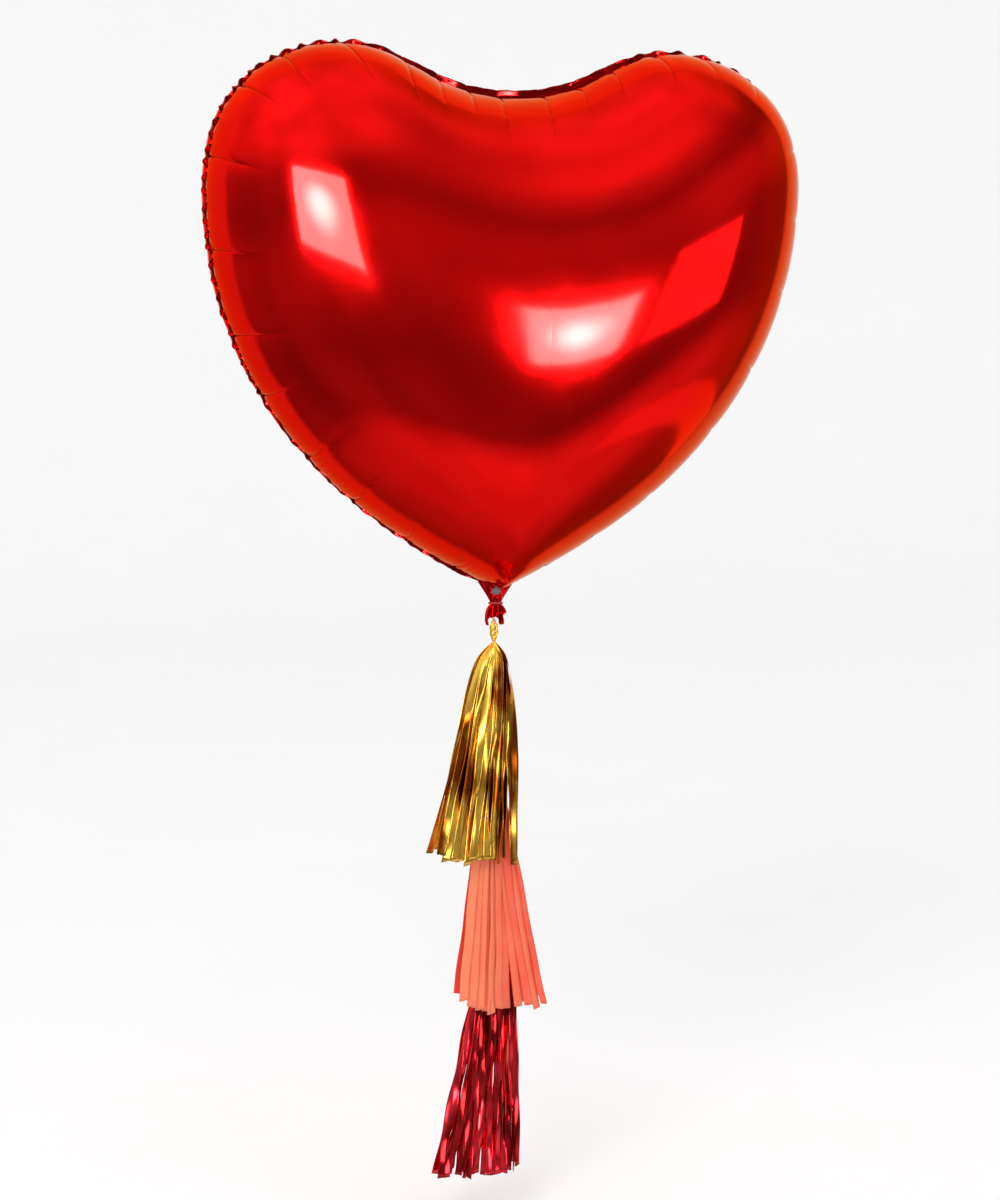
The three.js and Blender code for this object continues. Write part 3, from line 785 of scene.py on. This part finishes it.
# front and back count the ribbons on each side of the cord, and cad those that replace CAD strips. spread
# widens the bunch, depth and layer set it off from the cord, drift carries its left and right edges sideways,
# ends are the heights of its left, middle and right tips, and the last line curls the ribbons.
TASSELS = {
    "gold": {"body": "gold_tassel", "pivot_z": GOLD_PIVOT_Z, "material": gold_foil, "slot": "gold_foil",
             "front": 13, "back": 12, "cad": 13, "width": 12.5, "spread": 21, "depth": (4.5, 25),
             "layer": 1.8, "drift": (-62, 4), "ends": (-292, -303, -309),
             "twist": 24, "wave": 1.2, "waves": 2.2, "sway": 0.8, "parting": 0},
    "coral": {"body": "coral_tassel", "pivot_z": CORAL_PIVOT_Z, "material": coral_tissue,
              "slot": "coral_tissue", "front": 11, "back": 9, "cad": 11, "width": 11.5, "spread": 17,
              "depth": (2.0, 17), "layer": 1.0, "drift": (-35, 38), "ends": (-284, -310, -305),
              "twist": 12, "wave": 0.5, "waves": 2.2, "sway": 0.8, "parting": 7},
    "red": {"body": "red_tassel", "pivot_z": RED_PIVOT_Z, "material": crimson_foil, "slot": "crimson_foil",
            "front": 16, "back": 12, "cad": 13, "width": 9.0, "spread": 24, "depth": (2.0, 8), "layer": 1.0,
            "drift": (-55, 9), "ends": (-317, -320, -317),
            "twist": 34, "wave": 1.9, "waves": 3.4, "sway": 2.0, "parting": 0},
}
STRIP_TOP_Z = -29
STRIP_ROWS = 70
STRIP_COLUMNS = 6
SHOULDER = 0.055                 # share of a strip's length over which the bunch opens out


def strip_points(tassel, place, side, layer):
    """The middle surface of one hanging ribbon, as rows x columns x 3."""
    t = np.linspace(0, 1, STRIP_ROWS) ** 1.35
    left, middle, right = tassel["ends"]
    end = middle + (left - middle) * max(-place, 0) ** 3 + (right - middle) * max(place, 0) ** 3
    end += rng.uniform(-5, 3)
    z = STRIP_TOP_Z + (end - STRIP_TOP_Z) * t
    opened = 1 - np.exp(-t / SHOULDER)
    drift = tassel["drift"][0] + (tassel["drift"][1] - tassel["drift"][0]) * (place + 1) / 2
    wander = rng.uniform(-1, 1, 3)
    x = place * (0.8 + tassel["spread"] * opened) + drift * t ** 1.15
    x = x + 2.2 * wander[0] * np.sin(math.pi * t * 1.3) + 1.6 * wander[1] * t * np.sin(5 * t)
    x = x + tassel["parting"] * t ** 2 * (smooth(place, 0.28, 0.42) + smooth(place, 0.62, 0.72))
    x = x + tassel["sway"] * wander[2] * t * np.sin(2 * math.pi * 3.1 * t + 3 * place)
    shallow, deep = tassel["depth"]
    round_off = math.sqrt(max(1 - 0.75 * place ** 2, 0))
    depth = (0.6 + shallow * opened * 1.6 + (deep - shallow) * t) * (0.55 + 0.45 * round_off) + layer * opened
    wave_phase = rng.uniform(0, 2 * math.pi)
    wave_turns = rng.uniform(0.6, 1.2) * tassel["waves"]
    rippled = tassel["wave"] * np.sin(2 * math.pi * wave_turns * t + wave_phase)
    y = side * depth + rippled * smooth(t, 0.05, 0.3)
    twist = math.radians(tassel["twist"])
    turn = (twist * rng.uniform(-1, 1)
            + twist * np.sin(2 * math.pi * rng.uniform(0.5, 1.2) * t + rng.uniform(0, 6))
            - side * place * (0.9 - 0.5 * smooth(t, 0.04, 0.4)) - side * 0.15 * place ** 3)
    width = tassel["width"] * rng.uniform(0.85, 1.08) * (0.34 + 0.66 * smooth(t, 0, 0.07))
    across = np.linspace(-0.5, 0.5, STRIP_COLUMNS)
    camber = tassel["width"] * rng.uniform(-0.07, 0.07) * (1 - 4 * across ** 2)
    offset_x = width[:, None] * across * np.cos(turn)[:, None] - camber * np.sin(turn)[:, None]
    offset_y = width[:, None] * across * np.sin(turn)[:, None] + camber * np.cos(turn)[:, None]
    points = np.stack([x[:, None] + offset_x, TAIL_Y + y[:, None] + offset_y,
                       tassel["pivot_z"] + z[:, None] + 0 * across], axis=-1)
    points[-1, :, 2] += rng.uniform(-1.6, 1.6) * across * 2
    return points


def strips(key):
    tassel = TASSELS[key]
    faces = grid_faces(STRIP_ROWS, STRIP_COLUMNS, False)
    number = 1
    for count, side in ((tassel["front"], -1), (tassel["back"], 1)):
        for i in range(count):
            place = (2 * i + 1) / count - 1
            layer = (i % 3 - 1) * tassel["layer"]
            points = strip_points(tassel, place, side, layer)
            facing = faces if side < 0 else [face[::-1] for face in faces]
            name = f"{key}_ribbon_{number:02d}"
            obj = mesh_object(name, points.reshape(-1, 3), facing, tassel["material"])
            thicken(obj, 0.12)
            if number <= tassel["cad"]:
                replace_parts(obj, f"{key}_strip_{number:02d}")
            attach(obj, tassel["body"])
            number += 1


for key, tassel in TASSELS.items():
    twisted_loop(f"{key}_twisted_loop", f"{key}_loop", f"{key}_loop", tassel["pivot_z"], tassel["material"])
    pleated_head(f"{key}_gathered_head", f"{key}_head", tassel["body"], tassel["pivot_z"], tassel["material"])
    strips(key)

# ---------------------------------------------------------------- studio

FLOOR_Z = -0.80


def studio_floor():
    """A pale sweep: a floor that rises behind the balloon in a wide curve."""
    radius, depth, back, height = 2.0, 9.0, 5.0, 7.0
    bend = np.linspace(0, math.pi / 2, 24)
    y = np.concatenate([[-depth], back + radius * np.sin(bend), [back + radius]])
    z = np.concatenate([[0], radius * (1 - np.cos(bend)), [height]]) + FLOOR_Z
    x = np.linspace(-14, 14, 3)
    points = np.stack(np.broadcast_arrays(x[None], y[:, None], z[:, None]), axis=-1) / MM
    material, tree, shader = new_material("pale_floor")
    place = add(tree, "ShaderNodeTexCoord").outputs["Object"]
    pale = ramp(tree, noise(tree, place, 3.0), [(0.3, (0.925, 0.925, 0.925)), (0.7, (0.935, 0.935, 0.935))])
    tree.links.new(pale, shader.inputs["Base Color"])
    shader.inputs["Roughness"].default_value = 0.9
    floor = mesh_object("studio_floor", points.reshape(-1, 3), grid_faces(len(y), 3, False), material)
    floor.visible_glossy = False


studio_floor()


def area_light(name, place, aim, size, radiance, color=(1, 1, 1), shows_in="mirrors", centre=1):
    """A rectangular lamp whose centre is that many times as bright as its edge. It lights either the
    mirrors alone or the matt surfaces alone."""
    light = bpy.data.lights.new(name, "AREA")
    light.shape = "RECTANGLE"
    light.size, light.size_y = size
    light.energy = radiance * size[0] * size[1] * 4
    light.color = color
    light.use_nodes = True
    tree = light.node_tree
    spot = add(tree, "ShaderNodeVectorMath", operation="DISTANCE")
    tree.links.new(add(tree, "ShaderNodeNewGeometry").outputs["Parametric"], spot.inputs[0])
    spot.inputs[1].default_value = (0.5, 0.5, 0)
    falloff = add(tree, "ShaderNodeMapRange", interpolation_type="SMOOTHERSTEP",
                  inputs={"From Min": 0.0, "From Max": 0.42, "To Min": centre, "To Max": 1.0})
    tree.links.new(spot.outputs["Value"], falloff.inputs["Value"])
    tree.links.new(falloff.outputs["Result"], tree.nodes["Emission"].inputs["Strength"])
    obj = bpy.data.objects.new(name, light)
    obj.location = place
    obj.rotation_euler = (Vector(aim) - Vector(place)).to_track_quat("-Z", "Y").to_euler()
    obj.visible_camera = False
    obj.visible_diffuse = shows_in == "matt"
    obj.visible_transmission = shows_in == "matt"
    obj.visible_glossy = shows_in == "mirrors"
    bpy.context.scene.collection.objects.link(obj)
    return obj


def shine_on(lamp, pieces):
    """Lets a lamp reach these pieces alone."""
    group = bpy.data.collections.new(lamp.name + "_pieces")
    for piece in pieces:
        group.objects.link(piece)
    lamp.light_linking.receiver_collection = group


WARM = (1, 0.94, 0.92)
area_light("key", (-2.2, -3.0, 2.6), (0, 0, 0), (1.6, 1.6), 5.0, shows_in="matt")
HEART_LAMPS = (
    area_light("softbox_left", (-1.66, -2.53, 0.63), (-0.26, -0.14, 0.49), (1.86, 1.3), 42.0, WARM,
               centre=4),
    area_light("softbox_right", (1.25, -2.87, 0.0), (0.04, -0.17, 0.35), (0.73, 0.50), 50.0, WARM,
               centre=3.5),
    area_light("window", (2.28, -2.16, 0.13), (0.2, -0.16, 0.41), (1.3, 0.85), 1.1))
TAIL_LAMPS = (
    area_light("tail_softbox_left", (-1.5, -2.2, 0.4), (0, 0, -0.4), (0.5, 1.6), 6.0),
    area_light("tail_softbox_right", (1.6, -2.0, 0.2), (0, 0, -0.4), (0.35, 1.6), 6.0),
    area_light("tail_softbox_top", (0.2, -2.2, 1.6), (0, 0, -0.4), (1.2, 0.5), 4.0))
for lamp in HEART_LAMPS:
    shine_on(lamp, [front_foil, back_foil])
tail_pieces = [obj for obj in bpy.context.scene.objects
               if obj.type == "MESH" and obj not in (front_foil, back_foil)]
for lamp in TAIL_LAMPS:
    shine_on(lamp, tail_pieces)
shine_on(area_light("red_tassel_panel", (0.9, -2.8, -0.5), (0, 0, -0.55), (1.3, 1.0), 5.0),
         [obj for obj in tail_pieces if crimson_foil.name in obj.data.materials])

# The room as mirrors see it: brightness against height, with heights counted lower to the right.
ROOM_TILT = 0.35
ROOM_BRIGHTNESS = (
    (-1.0, 0.28), (-0.30, 0.28), (-0.10, 0.42), (0.05, 0.46), (0.24, 0.30), (0.42, 0.46),
    (0.58, 0.82), (0.74, 1.0), (1.0, 1.1))
FLOOR_TOP, FLOOR_FULL = -0.46, -0.70              # the floor comes in between these tilted heights
FLOOR_BRIGHTNESS, FLOOR_SLOPE = 0.44, -0.55       # at the object's plane, and its change towards +Y
BACKDROP = {"start": 0.24, "full": 0.42, "brightness": 0.92, "low": 0.72}
PATCH = {"near": -0.62, "far": 0.38, "low": -0.575, "high": -0.435, "edge": 0.03, "brightness": 0.95}


def step_between(tree, value, low, high):
    node = add(tree, "ShaderNodeMapRange", interpolation_type="SMOOTHSTEP",
               inputs={"From Min": low, "From Max": high})
    tree.links.new(value, node.inputs["Value"])
    return node.outputs["Result"]


def studio_world():
    """White to the camera, even light for matt surfaces, and a dim room with a white backdrop in mirrors."""
    world = bpy.data.worlds.new("studio")
    world.use_nodes = True
    tree = world.node_tree
    direction = add(tree, "ShaderNodeTexCoord").outputs["Generated"]
    axes = add(tree, "ShaderNodeSeparateXYZ")
    tree.links.new(direction, axes.inputs["Vector"])
    height = arithmetic(tree, "MULTIPLY_ADD", axes.outputs["X"], -ROOM_TILT, axes.outputs["Z"])
    shift = arithmetic(tree, "MULTIPLY_ADD", height, 0.5, 0.5)
    room = ramp(tree, shift, [((z + 1) / 2, (v, v, v)) for z, v in ROOM_BRIGHTNESS])
    backdrop = step_between(tree, axes.outputs["Y"], BACKDROP["start"], BACKDROP["full"])
    below = step_between(tree, height, FLOOR_TOP, FLOOR_FULL)
    floor = arithmetic(tree, "MULTIPLY_ADD", axes.outputs["Y"], FLOOR_SLOPE, FLOOR_BRIGHTNESS)
    room = arithmetic(tree, "MAXIMUM", room, arithmetic(tree, "MULTIPLY", below, floor))
    patch = step_between(tree, axes.outputs["X"], 0.2, 0.3)
    for axis, low, high in (("Y", PATCH["near"], PATCH["far"]), ("Z", PATCH["low"], PATCH["high"])):
        for near, far in ((low, low + PATCH["edge"]), (high, high - PATCH["edge"])):
            patch = arithmetic(tree, "MULTIPLY", patch, step_between(tree, axes.outputs[axis], near, far))
    clutter = add(tree, "ShaderNodeMapRange", inputs={
        "From Min": 0.3, "From Max": 0.7, "To Min": 0.72, "To Max": 1.22})
    tree.links.new(noise(tree, direction, 1.7, 1.0), clutter.inputs["Value"])
    room = arithmetic(tree, "MULTIPLY", room, clutter.outputs["Result"])
    seen = arithmetic(tree, "MAXIMUM", room, arithmetic(tree, "MULTIPLY", patch, PATCH["brightness"]))
    paling = add(tree, "ShaderNodeMapRange", inputs={
        "From Min": -0.5, "From Max": 0.4, "To Min": BACKDROP["low"], "To Max": BACKDROP["brightness"]})
    tree.links.new(axes.outputs["Z"], paling.inputs["Value"])
    backdrop = arithmetic(tree, "MULTIPLY", backdrop, paling.outputs["Result"])
    seen = arithmetic(tree, "MAXIMUM", seen, backdrop)
    rays = add(tree, "ShaderNodeLightPath")
    pick = add(tree, "ShaderNodeMix", data_type="FLOAT", inputs={"A": 1.0})
    tree.links.new(rays.outputs["Is Glossy Ray"], pick.inputs["Factor"])
    tree.links.new(seen, pick.inputs["B"])
    tree.links.new(pick.outputs["Result"], tree.nodes["Background"].inputs["Strength"])
    tree.nodes["Background"].inputs["Color"].default_value = (1, 1, 1, 1)
    bpy.context.scene.world = world


studio_world()
bpy.context.scene.view_settings.view_transform = "Standard"

# ---------------------------------------------------------------- camera

VIEW_AZIMUTH = math.radians(-20)
VIEW_ELEVATION = math.radians(3.5)
VIEW_DISTANCE = 4.5
HEART_MIDDLE = Vector((0, 0, 0.35))
FRAME_MIDDLE = Vector((0.006, 0, 0.0035))

camera_data = bpy.data.cameras.new("camera")
camera_data.lens = 108
camera = bpy.data.objects.new("camera", camera_data)
bpy.context.scene.collection.objects.link(camera)
back_off = Vector((math.sin(VIEW_AZIMUTH) * math.cos(VIEW_ELEVATION),
                   -math.cos(VIEW_AZIMUTH) * math.cos(VIEW_ELEVATION), math.sin(VIEW_ELEVATION)))
camera.location = HEART_MIDDLE + back_off * VIEW_DISTANCE
camera.rotation_euler = (FRAME_MIDDLE - camera.location).to_track_quat("-Z", "Y").to_euler()
bpy.context.scene.camera = camera
